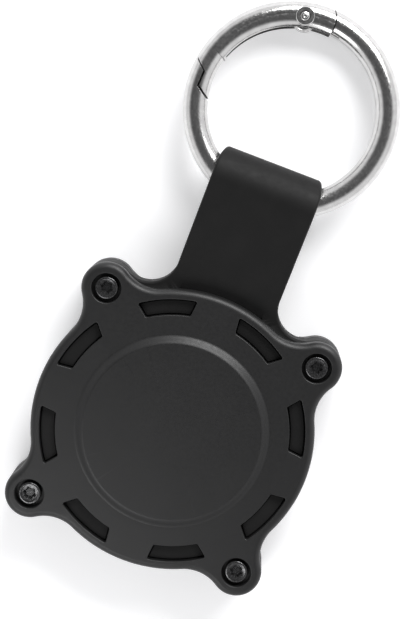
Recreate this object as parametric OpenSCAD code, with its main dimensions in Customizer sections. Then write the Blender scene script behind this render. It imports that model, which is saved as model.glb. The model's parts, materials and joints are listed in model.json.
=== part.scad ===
// Tracker tag holder: a round two-part case closed by four screws, a soft strap moulding that is
// clamped between the covers, and a sprung gate ring that hangs in the strap's fold.
// Sizes are in millimetres. +Z points out of the front cover and +Y towards the ring. The origin
// is on the case's axis, on the flat back that the holder rests on.

/* [Tag] */
// Diameter of the coin-shaped tag that the case holds
tag_d = 31.9; // [28:0.1:36]
// Thickness of the tag
tag_h = 8; // [7:0.1:10]
// Gap all round the tag's edge
tag_gap = 0.25; // [0.1:0.05:0.5]
// Free height over the tag
tag_play = 0.2; // [0.1:0.05:0.6]

/* [Case] */
// Width of the solid rim round the tag pocket
rim_w = 5.35; // [4.6:0.05:7]
// Wall over the tag in the front cover
face_wall = 1.1; // [0.8:0.1:2]
// Wall under the tag in the rear cover
rear_wall = 1.1; // [0.8:0.1:2]
// Height of the front cover's edge
front_edge_h = 2.3; // [2:0.1:3]
// Height of the rear cover's edge
rear_edge_h = 3.1; // [2.8:0.1:3.4]
// How much wider than the pocket the front cover's hollow is
lid_gap = 0.2; // [0.1:0.05:0.4]
// Wall of the front cover's flange over the pocket's edge
flange_wall = 1.2; // [0.8:0.1:1.6]
// Rounding of the covers' outer edges
edge_round = 1; // [0.3:0.05:1.1]
// Rounding of the covers' edges at the joints between the layers
seam_round = 0.2; // [0.1:0.05:0.4]
// Rounding of the soft frame's edges
frame_round = 0.45; // [0.2:0.05:0.8]
// Rise of the centre disc over the front flange
disc_rise = 0.8; // [0.4:0.1:1.2]
// Width of the sloping band round the centre disc
disc_slope_w = 0.95; // [0.5:0.05:1.5]
// Distance from the pocket's wall in to the flat of the centre disc
disc_inset = 2.55; // [1.8:0.05:4]

/* [Ears] */
// Distance of the screws outside the round of the case
ear_offset = 2.28; // [1.8:0.02:3.2]
// Radius of an ear's round end
ear_r = 3.85; // [3.2:0.05:4.2]
// Radius of the hollow that leads from the round of the case into an ear
ear_blend_r = 6; // [4:0.5:9]

/* [Windows] */
// Number of windows in a cover
window_count = 8; // [4:4:8]
// Distance from the pocket's wall out to a window
window_inset = 1.55; // [1.2:0.05:2]
// Height of a window along the case's radius
window_h = 2.35; // [1.4:0.05:2.6]
// Width of a window at its inner edge
window_in_w = 7; // [4:0.1:7.4]
// Width of a window at its outer edge
window_out_w = 9.6; // [6:0.1:10]
// Depth from a cover's face down to the soft pad in its window
window_depth = 0.9; // [0.5:0.1:1.6]
// Gap round a soft pad in its window
pad_gap = 0.12; // [0.06:0.02:0.3]

/* [Screws] */
// Diameter of a screw's shank
screw_d = 2; // [1.6:0.1:2.4]
// Length of a screw under its head
screw_l = 7; // [6.2:0.1:7.2]
// Diameter of a screw's head
head_d = 3.5; // [3:0.1:3.9]
// Height of a screw's head
head_h = 1.15; // [0.8:0.05:1.3]
// Rounding of a screw head's edge
head_round = 0.3; // [0.1:0.05:0.5]
// Depth of a screw's head below the front flange
head_sink = 0.35; // [0.1:0.05:0.5]
// Diameter of the counterbore round a screw's head
counterbore_d = 4.5; // [4:0.1:5]
// Diameter of the hole that a shank passes through
shank_hole_d = 2.4; // [2.2:0.1:2.8]
// Reach of a six-lobed socket from its middle
socket_r = 0.88; // [0.6:0.02:1.1]
// Depth of a six-lobed socket
socket_depth = 0.75; // [0.4:0.05:0.9]
// Diameter of a threaded insert
insert_d = 3.2; // [2.9:0.1:3.6]
// Height of a threaded insert
insert_h = 2.2; // [1.6:0.1:2.3]
// Running gap between a shank and its insert
insert_gap = 0.05; // [0.02:0.01:0.1]
// Bite of an insert in its hole
insert_bite = 0.02; // [0.01:0.01:0.05]

/* [Strap] */
// Width of the strap
strap_w = 16.4; // [12:0.1:17.5]
// Thickness of one layer of the strap
strap_t = 1.5; // [1.2:0.1:1.6]
// Distance from the case's axis to the top of the strap's fold
strap_reach = 43; // [40:0.5:60]
// Radius of the hollow that leads from the strap's side into an ear
strap_foot_r = 4.5; // [3.5:0.1:5]
// Radius that draws the strap's sides in towards the fold
fold_side_r = 5.6; // [4:0.1:9]
// Length over which the strap's sides draw in
fold_side_l = 2.7; // [1:0.1:4]
// Gap between the two layers of the strap where they leave the case
layer_gap = 1; // [0.4:0.1:1.4]

/* [Ring] */
// Radius of the ring to the middle of its wire
ring_r = 14.5; // [13:0.1:20]
// Diameter of the ring's wire
wire_d = 3.75; // [3.4:0.05:3.9]
// Gap between the wire and the inside of the strap's fold
loop_gap = 0.18; // [0.12:0.02:0.5]
// How far the ring lies to the left in the fold
ring_shift = 0.45; // [0:0.05:1]
// Gap between the ring's far side and the surface that the holder lies on
floor_gap = 0.02; // [0.01:0.01:0.05]

/* [Gate] */
// Angle of the hinge round the ring, anticlockwise from the right
hinge_angle = 103; // [80:1:120]
// Distance of the hinge pin inside the middle of the wire
hinge_inset = 0.5; // [0.3:0.05:0.7]
// Length of the gate's tail past the hinge pin, along the wire
tail_l = 4.6; // [4:0.1:6]
// Angle from the hinge to the latch's outer seam
latch_turn = 68; // [60:0.5:80]
// Length of the gate's nose under the hook, along the wire
nose_l = 4; // [3:0.05:4.5]
// Distance of the nose's root inside the middle of the wire
nose_root = 0.3; // [0:0.05:0.4]
// Distance of the nose's tip inside the middle of the wire
nose_tip = 0.15; // [0:0.05:0.3]
// Gap in the seams between the gate and the ring
seam_gap = 0.16; // [0.1:0.02:0.3]
// Gap behind the gate's nose and past its tip
nose_gap = 0.3; // [0.1:0.02:0.4]
// Width of the channel inside the gate
channel_w = 2; // [1.7:0.05:2.2]
// Thickness of the gate's outer wall over the channel
channel_roof = 0.95; // [0.85:0.05:1]
// Length of solid gate between the channel and the latch's outer seam
channel_stop_l = 2.2; // [1.5:0.1:4]
// How far the cheeks of the gate drop into the ring at the hinge
cheek_drop = 0.5; // [0.2:0.05:0.8]
// Width of the cheeks of the gate at the hinge
cheek_w = 3; // [2.6:0.1:3.4]
// Radius of the round boss under a rivet's end
boss_r = 1.42; // [1.2:0.02:1.6]
// Height of the boss over the wire
boss_rise = 0.05; // [0.02:0.01:0.08]
// Gap on each side of the tongue in the channel
tongue_gap = 0.1; // [0.05:0.05:0.2]
// Radius of the tongue's eye round the rivet
eye_r = 1.3; // [1.2:0.05:1.35]
// Radius of the cam under the tongue's eye
cam_r = 1.7; // [1.5:0.05:1.8]
// Distance of the cam's middle inside the hinge pin
cam_offset = 0.55; // [0.4:0.05:0.6]
// Diameter of the hinge rivet
rivet_d = 1.6; // [1.3:0.1:1.7]
// Running gap between the rivet and the tongue
rivet_gap = 0.05; // [0.02:0.01:0.1]
// Bite of the rivet in the gate
rivet_bite = 0.01; // [0.01:0.01:0.03]

/* [Gate spring] */
// Outer diameter of the spring in the gate
spring_d = 1.7; // [1.5:0.05:1.75]
// Diameter of the spring's wire
spring_wire_d = 0.3; // [0.24:0.02:0.32]
// Number of curls in the spring
spring_curls = 12; // [8:1:13]
// Distance of the spring inside the middle of the ring's wire
spring_inset = 0.3; // [0.2:0.05:0.4]
// Angle from the hinge to the middle of the plunger
plunger_turn = 10; // [9:0.5:12]
// Height of the plunger's head
plunger_head_h = 0.9; // [0.6:0.05:1.2]
// Length of the plunger's stem
plunger_stem_l = 1.5; // [1:0.1:1.8]
// Diameter of the plunger's stem
plunger_stem_d = 0.7; // [0.5:0.05:0.8]
// Gap between the plunger and the cam
plunger_gap = 0.08; // [0.05:0.01:0.12]

/* [Hidden] */
$fn = 96;

// Overrun of every cut past the face that it leaves through
overrun = 1;
// Number of ears, each with its screw and insert
ear_count = 4;
ear_step = 360 / ear_count;

// Heights of the layers, from the rear cover's flat back up
pocket_r = tag_d / 2 + tag_gap;
case_r = pocket_r + rim_w;
case_h = rear_wall + tag_h + tag_play + face_wall;
flange_z = case_h - disc_rise;
front_z = flange_z - front_edge_h;
frame_h = front_z - rear_edge_h;
mid_z = rear_edge_h + frame_h / 2;

// Ears and the hollows beside them
screw_circle_r = case_r + ear_offset;
blend_reach = case_r + ear_blend_r;
blend_turn = acos((pow(blend_reach, 2) + pow(screw_circle_r, 2) - pow(ear_r + ear_blend_r, 2))
    / (2 * blend_reach * screw_circle_r));

// Steps of the outline's arcs and of the roundings round it
hollow_steps = 5;
ear_steps = 10;
case_steps = 8;
round_steps = 2;
// Bite of a hollow into the outlines that it runs into
blend_bite = 0.01;

// Centre disc
disc_r = pocket_r - disc_inset;
disc_wall_share = 0.5;
crown_r = disc_r - disc_slope_w * disc_wall_share;

// Windows
window_in_r = pocket_r + window_inset;
window_out_r = window_in_r + window_h;

// Screws and inserts
seat_z = flange_z - head_sink - head_h;
insert_bore_d = screw_d + 2 * insert_gap;
insert_floor_gap = 0.2;
socket_lobes = 6;
socket_lobe_share = 0.27;
socket_core_share = 0.74;

// Ring in the fold: the pivot is the middle of the fold, and the wire curves through it. The share
// of its curve that lies behind the pivot is less than half, because the ring is drawn outwards
ring_back_share = 0.43;
wire_r = wire_d / 2;
wire_at_side = sqrt(pow(ring_r, 2) - pow(strap_w / 2, 2));
wire_sweep = ring_r - wire_at_side + wire_r * ring_r / wire_at_side - wire_r;
ring_back = wire_sweep * ring_back_share;
loop_r = ring_back + wire_r + loop_gap;
fold_r = loop_r + strap_t;
pivot_y = strap_reach - fold_r;
ring_centre_d = ring_r - ring_back;
ring_tilt = asin((mid_z - wire_r - floor_gap) / (ring_centre_d + ring_r));

// The wire curves away from the case towards the strap's sides. Its inner side reaches furthest
// from the pivot there, so the fold's inside flares from flare_x out to flare_r at the sides
inner_r = ring_r - wire_r;
flare_r = ring_centre_d - sqrt(pow(inner_r, 2) - pow(strap_w / 2 + ring_shift, 2)) + loop_gap;
flare_x = sqrt(pow(inner_r, 2) - pow(ring_centre_d + loop_gap - loop_r, 2)) - ring_shift;

// Strap layers: straight lines from the case to the tangents of the fold's two circles
root_half_h = layer_gap / 2 + strap_t;
root_d = sqrt(pow(pivot_y - case_r, 2) + pow(root_half_h, 2));
layer_angle = asin(fold_r / root_d) - atan2(root_half_h, pivot_y - case_r);
foot_x = strap_w / 2 + strap_foot_r;
ear_x = screw_circle_r * cos(ear_step / 2);
foot_y = ear_x + sqrt(pow(ear_r + strap_foot_r, 2) - pow(foot_x - ear_x, 2));

// Gate: places round the ring, in the ring's own plane
hinge_r = ring_r - hinge_inset;
hinge = polar(hinge_r, hinge_angle);
tail_angle = hinge_angle - arc_turn(tail_l);
latch_angle = hinge_angle + latch_turn;
shoulder = polar(ring_r + wire_r, latch_angle);
shoulder_r = norm(shoulder - hinge);
nose_start = polar(ring_r - nose_root, latch_angle + arc_turn(wire_r) / 2);
nose_end = polar(ring_r - nose_tip, latch_angle + arc_turn(nose_l));
nose_r = norm(nose_end - hinge);
nose_way = (nose_end - nose_start) / norm(nose_end - nose_start);
nose_in = [-nose_way[1], nose_way[0]];
gate_end_angle = latch_angle + 2 * arc_turn(nose_l);
channel_r = ring_r + wire_r - channel_roof;
channel_end_angle = latch_angle - arc_turn(channel_stop_l);
tongue_t = channel_w - 2 * tongue_gap;
tongue_root_angle = tail_angle - arc_turn(wire_r);

// Plunger and spring in the gate's channel
spring_r = ring_r - spring_inset;
coil_r = (spring_d - spring_wire_d) / 2;
plunger_angle = hinge_angle + plunger_turn;
plunger_x = plunger_gap + cam_r + cam_offset * sin(plunger_turn) - hinge_r * sin(plunger_turn);
plunger_back_x = plunger_x + plunger_head_h;
spring_start_angle = plunger_angle + asin(plunger_back_x / spring_r);
spring_end_angle = channel_end_angle;
spring_rings_per_curl = 8;
spring_sides = 6;

function polar(r, a) = [r * cos(a), r * sin(a)];
// The angle round the ring that a length along the middle of its wire takes
function arc_turn(l) = l / ring_r * 180 / PI;

// The corner that a rounding of radius e takes off a profile
module corner_cut(e) {
    difference() {
        square(e + overrun);
        circle(e, $fn = 32);
    }
}

// A flat round body with its outer edges rounded
module puck(r, h, top, bottom) {
    rotate_extrude()
        difference() {
            square([r, h]);
            translate([r - top, h - top]) corner_cut(top);
            if (bottom > 0)
                translate([r - bottom, bottom]) mirror([0, 1]) corner_cut(bottom);
        }
}

// Plan of the outline that all three layers share: the round of the case, four round-ended ears,
// and a hollow on each side of an ear
module case_plan() {
    difference() {
        union() {
            circle(case_r);
            at_each_ear() {
                translate([screw_circle_r, 0]) circle(ear_r);
                polygon([
                    [0, 0], polar(blend_reach, -blend_turn), [screw_circle_r, 0],
                    polar(blend_reach, blend_turn)
                ]);
            }
        }
        at_each_ear()
            for (side = [-1, 1])
                translate(polar(blend_reach, side * blend_turn))
                    circle(ear_blend_r + blend_bite);
    }
}

// Points of an arc, at the middles of its steps
function arc(middle, r, from, to, steps) =
    [for (k = [0 : steps - 1]) middle + polar(r, from + (to - from) * (k + 0.5) / steps)];
function turned(p, a) = [p[0] * cos(a) - p[1] * sin(a), p[0] * sin(a) + p[1] * cos(a)];

// The same outline as points, moved in by a distance: for each ear a hollow, the ear's round end,
// the other hollow, and the stretch of round case up to the next ear
function case_outline(inset) =
    let (
        middle = polar(blend_reach, blend_turn),
        ear_turn = atan2(middle[1], middle[0] - screw_circle_r),
        stretch = concat(
            arc([middle[0], -middle[1]], ear_blend_r + inset,
                180 - blend_turn, 180 - ear_turn, hollow_steps),
            arc([screw_circle_r, 0], ear_r - inset, -ear_turn, ear_turn, ear_steps),
            arc(middle, ear_blend_r + inset, ear_turn - 180, blend_turn - 180, hollow_steps),
            arc([0, 0], case_r - inset, blend_turn, ear_step - blend_turn, case_steps)
        )
    )
    [for (i = [1 : ear_count]) for (p = stretch) turned(p, (i - 0.5) * ear_step)];

// What a rounding of radius e takes off the outline's top edge at z = 0: a ring whose inner faces
// follow the quarter circle in flat steps, carried on past both of its ends
module edge_cut(e, steps) {
    quarter = [for (s = [0 : steps]) e * [1 - sin(90 * s / steps), cos(90 * s / steps) - 1]];
    first = quarter[0] + (quarter[0] - quarter[1]) / steps;
    last = quarter[steps] + (quarter[steps] - quarter[steps - 1]) / steps;
    inner = [for (s = [0 : steps]) s == 0 ? first : s == steps ? last : quarter[s]];
    profile = concat(inner, [[-overrun, last[1]], [-overrun, first[1] + overrun]]);
    m = len(profile);
    n = len(case_outline(0));
    points = [for (q = profile) for (p = case_outline(q[0])) [p[0], p[1], q[1]]];
    polyhedron(points, [for (j = [0 : m - 1]) for (i = [0 : n - 1])
        let (
            a = j * n + i, b = j * n + (i + 1) % n,
            c = (j + 1) % m * n + i, d = (j + 1) % m * n + (i + 1) % n
        )
        each [[a, d, b], [a, c, d]]]);
}

// One layer of the case with its top and bottom edges rounded
module case_layer(h, top, bottom) {
    difference() {
        linear_extrude(h) case_plan();
        translate([0, 0, h]) edge_cut(top, top > seam_round ? round_steps : 1);
        mirror([0, 0, 1]) edge_cut(bottom, bottom > seam_round ? round_steps : 1);
    }
}

module at_each_ear() {
    for (i = [1 : ear_count])
        rotate((i - 0.5) * ear_step)
            children();
}

// Places its children at one of the four screws
module at_ear(i) {
    rotate([0, 0, (i - 0.5) * ear_step])
        translate([screw_circle_r, 0, 0])
            children();
}

// Outline of one window, or with a gap the outline of the soft pad in it
module window_plan(gap) {
    intersection() {
        difference() {
            circle(window_out_r - gap);
            circle(window_in_r + gap);
        }
        polygon([
            [window_in_r - window_h, -window_side(window_in_r - window_h) + gap],
            [window_out_r + window_h, -window_side(window_out_r + window_h) + gap],
            [window_out_r + window_h, window_side(window_out_r + window_h) - gap],
            [window_in_r - window_h, window_side(window_in_r - window_h) - gap]
        ]);
    }
}
// Half the window's width at a distance from the case's axis
function window_side(r) =
    (window_in_w + (window_out_w - window_in_w) * (r - window_in_r) / window_h) / 2;

module all_windows(z, h, gap) {
    for (i = [0 : window_count - 1])
        rotate([0, 0, (i + 0.5) * 360 / window_count])
            translate([0, 0, z])
                linear_extrude(h)
                    window_plan(gap);
}

module front_cover() {
    color([0.17, 0.17, 0.18])
        difference() {
            union() {
                translate([0, 0, front_z])
                    case_layer(front_edge_h, edge_round, seam_round);
                rotate_extrude()
                    polygon([
                        [0, front_z + seam_round], [disc_r + disc_slope_w, front_z + seam_round],
                        [disc_r + disc_slope_w, flange_z], [disc_r, case_h], [0, case_h]
                    ]);
            }
            translate([0, 0, front_z - overrun])
                cylinder(r = pocket_r + lid_gap, h = front_edge_h - flange_wall + overrun);
            translate([0, 0, front_z])
                cylinder(r = crown_r, h = case_h - face_wall - front_z);
            all_windows(front_z - overrun, front_edge_h + 2 * overrun, 0);
            for (i = [1 : ear_count])
                at_ear(i) {
                    translate([0, 0, front_z - overrun])
                        cylinder(d = shank_hole_d, h = front_edge_h + 2 * overrun);
                    translate([0, 0, seat_z])
                        cylinder(d = counterbore_d, h = head_h + head_sink + overrun);
                }
        }
}

module rear_cover() {
    color([0.15, 0.15, 0.16])
        difference() {
            case_layer(rear_edge_h, seam_round, edge_round);
            translate([0, 0, rear_wall])
                cylinder(r = pocket_r, h = rear_edge_h);
            all_windows(-overrun, rear_edge_h + 2 * overrun, 0);
            for (i = [1 : ear_count])
                at_ear(i)
                    translate([0, 0, rear_edge_h - insert_h - insert_floor_gap])
                        cylinder(d = insert_d, h = rear_edge_h);
        }
}

// Side view of the strap's fold and straight layers: the outside at offset 0, the inside of the
// layers at offset strap_t. The layers end a little inside the round, where they cross it cleanly
module fold_side(offset) {
    r = fold_r - offset;
    touch = (r - blend_bite) * [sin(layer_angle), cos(layer_angle)];
    root = [case_r - pivot_y, root_half_h - offset / cos(layer_angle)];
    circle(r);
    polygon([
        [-touch[0], touch[1]], root, [root[0], -root[1]], [-touch[0], -touch[1]]
    ]);
}

// Plan of the strap with its sides drawn in towards the fold
module strap_plan() {
    side_y = strap_reach - fold_side_l;
    difference() {
        translate([-strap_w / 2, case_r - rim_w])
            square([strap_w, strap_reach - case_r + rim_w]);
        for (side = [0, 1])
            mirror([side, 0])
                translate([strap_w / 2 - fold_side_r, side_y])
                    corner_cut(fold_side_r);
    }
}

// Flares that widen the fold's inside towards both of the strap's sides
module fold_flares() {
    slope = (flare_r - loop_r) / (strap_w / 2 - flare_x);
    side_x = strap_w / 2 + overrun;
    if (flare_r > loop_r)
        for (side = [0, 1])
            mirror([side, 0, 0])
                translate([0, pivot_y, mid_z])
                    rotate([0, 90, 0])
                        rotate_extrude()
                            polygon([
                                [0, flare_x], [loop_r, flare_x],
                                [flare_r + slope * overrun, side_x], [0, side_x]
                            ]);
}

module strap() {
    color([0.13, 0.13, 0.14])
        difference() {
            union() {
                translate([0, 0, rear_edge_h])
                    case_layer(frame_h, frame_round, frame_round);
                // The foot on each side, hollowed from the strap's edge into the ear
                for (side = [0, 1])
                    mirror([side, 0, 0])
                        translate([0, 0, mid_z - root_half_h])
                            linear_extrude(2 * root_half_h)
                                difference() {
                                    polygon([
                                        [0, ear_x], [0, foot_y], [foot_x, foot_y], [ear_x, ear_x]
                                    ]);
                                    translate([foot_x, foot_y])
                                        circle(strap_foot_r + blend_bite);
                                }
                // The folded strap itself
                intersection() {
                    translate([-strap_w / 2, pivot_y, mid_z])
                        rotate([90, 0, 90])
                            linear_extrude(strap_w)
                                fold_side(0);
                    linear_extrude(case_h + fold_r)
                        strap_plan();
                }
                // Pads that fill the windows of both covers from inside
                all_windows(window_depth, flange_z - 2 * window_depth, pad_gap);
            }
            translate([-strap_w / 2 - overrun, pivot_y, mid_z])
                rotate([90, 0, 90])
                    linear_extrude(strap_w + 2 * overrun)
                        fold_side(strap_t);
            fold_flares();
            translate([0, 0, rear_edge_h - overrun])
                cylinder(r = pocket_r, h = frame_h + 2 * overrun);
            for (i = [1 : ear_count])
                at_ear(i)
                    translate([0, 0, rear_edge_h - overrun])
                        cylinder(d = shank_hole_d, h = frame_h + 2 * overrun);
        }
}

// A pan-head screw with a six-lobed socket
module cover_screw(i) {
    color([0.1, 0.1, 0.1])
        at_ear(i)
            difference() {
                union() {
                    translate([0, 0, seat_z])
                        puck(head_d / 2, head_h, head_round, 0);
                    translate([0, 0, seat_z - screw_l])
                        cylinder(d = screw_d, h = screw_l + head_h / 2);
                }
                translate([0, 0, seat_z + head_h - socket_depth])
                    linear_extrude(socket_depth + overrun) {
                        circle(socket_r * socket_core_share, $fn = 32);
                        for (lobe = [0 : socket_lobes - 1])
                            rotate(lobe * 360 / socket_lobes)
                                translate([socket_r * (1 - socket_lobe_share), 0])
                                    circle(socket_r * socket_lobe_share, $fn = 24);
                    }
            }
}

module threaded_insert(i) {
    color([0.72, 0.58, 0.3])
        at_ear(i)
            translate([0, 0, rear_edge_h - insert_h])
                difference() {
                    cylinder(d = insert_d + 2 * insert_bite, h = insert_h);
                    translate([0, 0, -overrun])
                        cylinder(d = insert_bore_d, h = insert_h + 2 * overrun);
                }
}

// Puts the ring's own plane into the strap's fold, with its far side down on the surface
module in_fold() {
    translate([-ring_shift, pivot_y, mid_z])
        rotate([-ring_tilt, 0, 0])
            translate([0, ring_centre_d, 0])
                children();
}

// A stretch of the ring's wire between two angles
module wire(from, to) {
    rotate([0, 0, from])
        rotate_extrude(angle = to - from)
            translate([ring_r, 0])
                circle(wire_r, $fn = 48);
}

// Everything between two angles, out past the ring
module sector(from, to) {
    mid = (from + to) / 2;
    far = 2 * ring_r;
    polygon([[0, 0], polar(far, from), polar(far, (from + mid) / 2), polar(far, mid),
        polar(far, (mid + to) / 2), polar(far, to)]);
}

// Plan of the gate: the tail's end, a shoulder that meets the hook's end, and a nose under the
// hook. All three end in arcs about the hinge, so that the gate swings clear
module gate_plan(gap, nose_gap) {
    intersection() {
        sector(tongue_root_angle, gate_end_angle);
        union() {
            translate(hinge) circle(tail_l + gap);
            sector(hinge_angle, gate_end_angle);
        }
        union() {
            translate(hinge) circle(shoulder_r + gap);
            intersection() {
                translate(hinge) circle(nose_r + nose_gap);
                polygon([
                    nose_start - wire_r * nose_way - nose_gap * nose_in,
                    nose_end + wire_d * nose_way - nose_gap * nose_in,
                    nose_end + wire_d * nose_way + wire_d * nose_in,
                    nose_start - wire_r * nose_way + wire_d * nose_in
                ]);
            }
        }
    }
}

// The tongue that carries the rivet, with the cam that the plunger presses on
module tongue_plan() {
    out = polar(eye_r, hinge_angle);
    polygon([
        polar(hinge_r - eye_r, tongue_root_angle), polar(hinge_r + eye_r, tongue_root_angle),
        hinge + out, hinge - out
    ]);
    translate(hinge) circle(eye_r);
    translate(hinge - polar(cam_offset, hinge_angle)) circle(cam_r);
}

module ring_body() {
    color([0.72, 0.72, 0.72])
        in_fold()
            difference() {
                union() {
                    difference() {
                        wire(latch_angle - arc_turn(wire_r), 360 + tail_angle + arc_turn(wire_r));
                        linear_extrude(wire_d + 2 * overrun, center = true)
                            gate_plan(seam_gap, nose_gap);
                    }
                    linear_extrude(tongue_t, center = true)
                        tongue_plan();
                }
                translate(hinge)
                    cylinder(d = rivet_d + 2 * rivet_gap, h = wire_d, center = true);
            }
}

module gate() {
    boss_h = wire_d + 2 * boss_rise;
    color([0.66, 0.66, 0.67])
        in_fold()
            difference() {
                union() {
                    intersection() {
                        wire(tongue_root_angle, gate_end_angle);
                        linear_extrude(wire_d + 2 * overrun, center = true)
                            gate_plan(0, 0);
                    }
                    // Cheeks that stand deepest at the hinge and thin out towards the latch
                    linear_extrude(cheek_w, center = true)
                        intersection() {
                            gate_plan(0, 0);
                            sector(tongue_root_angle, channel_end_angle);
                            difference() {
                                circle(ring_r - wire_r / 2);
                                translate(-polar(cheek_drop, hinge_angle))
                                    circle(ring_r - wire_r);
                            }
                        }
                    translate(hinge) cylinder(r = boss_r, h = boss_h, center = true);
                }
                linear_extrude(channel_w, center = true)
                    intersection() {
                        circle(channel_r);
                        sector(tongue_root_angle, channel_end_angle);
                    }
                translate(hinge)
                    cylinder(d = rivet_d - 2 * rivet_bite, h = boss_h + 2 * overrun, center = true);
            }
}

// The rivet runs through both cheeks and the tongue, with a small dimple in each end
module hinge_rivet() {
    rivet_l = wire_d + 2 * boss_rise;
    dimple_r = rivet_d / 5;
    color([0.78, 0.78, 0.78])
        in_fold()
            translate(hinge)
                difference() {
                    cylinder(d = rivet_d, h = rivet_l, center = true);
                    for (side = [-1, 1])
                        translate([0, 0, side * (rivet_l / 2 - dimple_r / 2 + overrun / 2)])
                            cylinder(r = dimple_r, h = dimple_r + overrun, center = true);
                }
}

// The plunger slides in the channel and presses on the tongue's cam
module spring_plunger() {
    color([0.6, 0.6, 0.62])
        in_fold()
            translate(polar(spring_r, plunger_angle))
                rotate([0, 0, plunger_angle])
                    rotate([-90, 0, 0]) {
                        translate([0, 0, plunger_x])
                            cylinder(d = spring_d, h = plunger_head_h);
                        translate([0, 0, plunger_back_x])
                            cylinder(d = plunger_stem_d, h = plunger_stem_l);
                    }
}

// Points of the spring's wire: a curl round the arc in the middle of the channel, with a straight
// stretch at each end
spring_steps = spring_curls * spring_rings_per_curl;
spring_run = (spring_end_angle - spring_start_angle) - 2 * arc_turn(spring_wire_d);
function spring_point(s) =
    let (
        a = spring_start_angle + arc_turn(spring_wire_d) + spring_run * s / spring_steps,
        turn = 360 * s / spring_rings_per_curl
    )
    [
        (spring_r + coil_r * cos(turn)) * cos(a),
        (spring_r + coil_r * cos(turn)) * sin(a),
        coil_r * sin(turn)
    ];
spring_path = concat(
    [concat(polar(spring_r + coil_r, spring_start_angle), 0)],
    [for (s = [0 : spring_steps]) spring_point(s)],
    [concat(polar(spring_r + coil_r, spring_end_angle), 0)]
);

// Sweeps a tube of a few sides along a coil that follows an arc about the origin. The first side
// stays square to the arc, so the tube doesn't twist
module swept_tube(path, r, sides) {
    last = len(path) - 1;
    way = [for (i = [0 : last]) unit(path[min(i + 1, last)] - path[max(i - 1, 0)])];
    side = [for (i = [0 : last])
        let (out = unit([path[i][0], path[i][1], 0]))
        i == 0 || i == last ? -out : unit(cross(way[i], [-out[1], out[0], 0]))];
    up = [for (i = [0 : last]) cross(side[i], way[i])];
    points = [for (i = [0 : last]) for (k = [0 : sides - 1])
        path[i] + r * (cos(360 * k / sides) * side[i] + sin(360 * k / sides) * up[i])];
    walls = [for (i = [0 : last - 1]) for (k = [0 : sides - 1])
        let (a = i * sides + k, b = i * sides + (k + 1) % sides)
        each [[a, b, a + sides], [b, b + sides, a + sides]]];
    start_cap = [for (k = [1 : sides - 2]) [0, k + 1, k]];
    end_cap = [for (k = [1 : sides - 2]) [last * sides, last * sides + k, last * sides + k + 1]];
    polyhedron(points, concat(walls, start_cap, end_cap));
}
function unit(v) = v / norm(v);

// Least gap between neighbouring curls, from their points
spring_least_gap = min([for (s = [0 : spring_steps - spring_rings_per_curl])
    norm(spring_point(s + spring_rings_per_curl) - spring_point(s))]) - spring_wire_d;

module gate_spring() {
    echo(spring_least_gap = spring_least_gap);
    color([0.5, 0.5, 0.52])
        in_fold()
            swept_tube(spring_path, spring_wire_d / 2, spring_sides);
}

front_cover();
rear_cover();
strap();
cover_screw(1);  // cover_screw_1
cover_screw(2);  // cover_screw_2
cover_screw(3);  // cover_screw_3
cover_screw(4);  // cover_screw_4
threaded_insert(1);  // threaded_insert_1
threaded_insert(2);  // threaded_insert_2
threaded_insert(3);  // threaded_insert_3
threaded_insert(4);  // threaded_insert_4
ring_body();
gate();
hinge_rivet();
gate_spring();
spring_plunger();
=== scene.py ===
# %% [markdown]
# A case for a coin-shaped tag is a small object of three layers: two hard plastic covers with a
# soft moulding between them, which ends in a folded strap and a sprung gate ring. This lesson
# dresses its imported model. Every form is built from a few named sizes in millimetres, and what the
# frame knows already, such as where a screw stands, is read from the frame and not typed again.

# %% Load the frame
import json
from math import acos, asin, atan2, cos, degrees, hypot, pi, radians, sin, sqrt

import bpy
from mathutils import Matrix, Vector


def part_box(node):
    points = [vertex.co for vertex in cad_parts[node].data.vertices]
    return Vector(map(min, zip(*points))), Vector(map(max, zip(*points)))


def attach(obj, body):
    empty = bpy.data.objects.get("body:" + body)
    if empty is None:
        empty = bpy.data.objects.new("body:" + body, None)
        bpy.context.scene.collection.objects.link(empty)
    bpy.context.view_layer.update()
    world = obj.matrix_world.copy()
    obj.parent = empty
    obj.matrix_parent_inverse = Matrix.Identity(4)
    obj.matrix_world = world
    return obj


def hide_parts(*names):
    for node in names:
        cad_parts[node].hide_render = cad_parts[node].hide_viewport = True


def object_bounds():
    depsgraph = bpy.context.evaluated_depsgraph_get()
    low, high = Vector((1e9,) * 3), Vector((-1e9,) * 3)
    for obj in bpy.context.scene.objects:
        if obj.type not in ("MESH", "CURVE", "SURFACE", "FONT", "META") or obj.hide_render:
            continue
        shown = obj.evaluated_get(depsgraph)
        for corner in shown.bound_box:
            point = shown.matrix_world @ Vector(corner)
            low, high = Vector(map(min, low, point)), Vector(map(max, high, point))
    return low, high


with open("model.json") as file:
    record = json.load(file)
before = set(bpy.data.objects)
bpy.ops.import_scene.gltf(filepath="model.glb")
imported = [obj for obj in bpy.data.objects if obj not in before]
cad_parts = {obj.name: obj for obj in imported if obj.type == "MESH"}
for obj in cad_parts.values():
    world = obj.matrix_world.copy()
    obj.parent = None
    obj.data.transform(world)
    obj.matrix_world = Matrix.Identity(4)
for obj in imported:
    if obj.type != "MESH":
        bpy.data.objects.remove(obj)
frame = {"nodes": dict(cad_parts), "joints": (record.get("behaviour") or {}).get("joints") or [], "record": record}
cad_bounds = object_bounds()
MM = 0.001
MOUNTS = {m["name"]: m for m in frame["record"]["mounts"]}
JOINTS = {j["name"]: j for j in frame["joints"]}
scene = bpy.context.scene
scene.view_settings.view_transform = "Standard"
print("nodes in the frame:", len(frame["nodes"]))

# %% [markdown]
# The camera comes first, because every later choice is judged through it. It hangs over the case,
# turned so that the strap runs up to the right, and it leans a little. A long lens would hide the
# covers' side walls and a short one would swell the case, so its length is taken from how much of
# the walls the view shows.

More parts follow.
